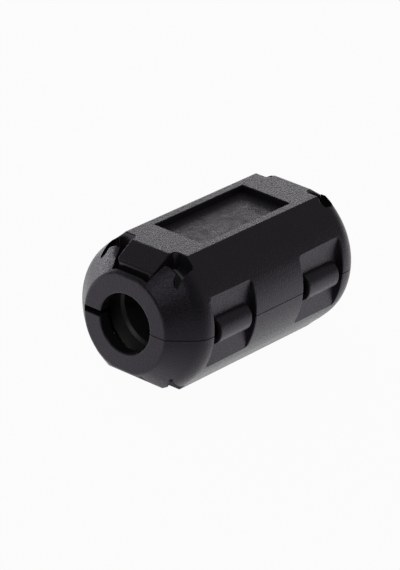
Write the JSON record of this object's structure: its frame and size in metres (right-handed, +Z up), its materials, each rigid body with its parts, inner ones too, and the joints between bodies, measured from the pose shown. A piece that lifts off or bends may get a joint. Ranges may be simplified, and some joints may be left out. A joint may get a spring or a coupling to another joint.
{
  "type": "clip on ferrite bead",
  "caption": "Barrel-shaped black plastic case with tapered ends that hinges open along one side and snaps two ferrite half rings round a cable to choke interference.",
  "frame": {"origin": "middle of the flat bottom of the lower half", "axes": "+Y along the cable bore, away from the end that the picture shows; +X towards the hinge straps; +Z up, through the label recess of the upper half"},
  "size_m": [0.019, 0.035, 0.0175],
  "materials": {
    "case_plastic": "finely grained black moulded nylon",
    "ferrite": "sintered dark grey ferrite with ground mating faces"
  },
  "bodies": {
    "lower_half": {"lower_shell": "case_plastic", "lower_core": "ferrite", "hinge_strap_front": "case_plastic", "hinge_strap_rear": "case_plastic"},
    "upper_half": {"upper_shell": "case_plastic", "upper_core": "ferrite"}
  },
  "joints": [
    {"name": "lid_hinge", "type": "hinge", "parent": "lower_half", "child": "upper_half", "pos_m": [0.0095, 0, 0.00875], "axis": [0, 1, 0], "range_deg": [0, 180], "deforming": ["hinge_strap_front", "hinge_strap_rear"]}
  ]
}
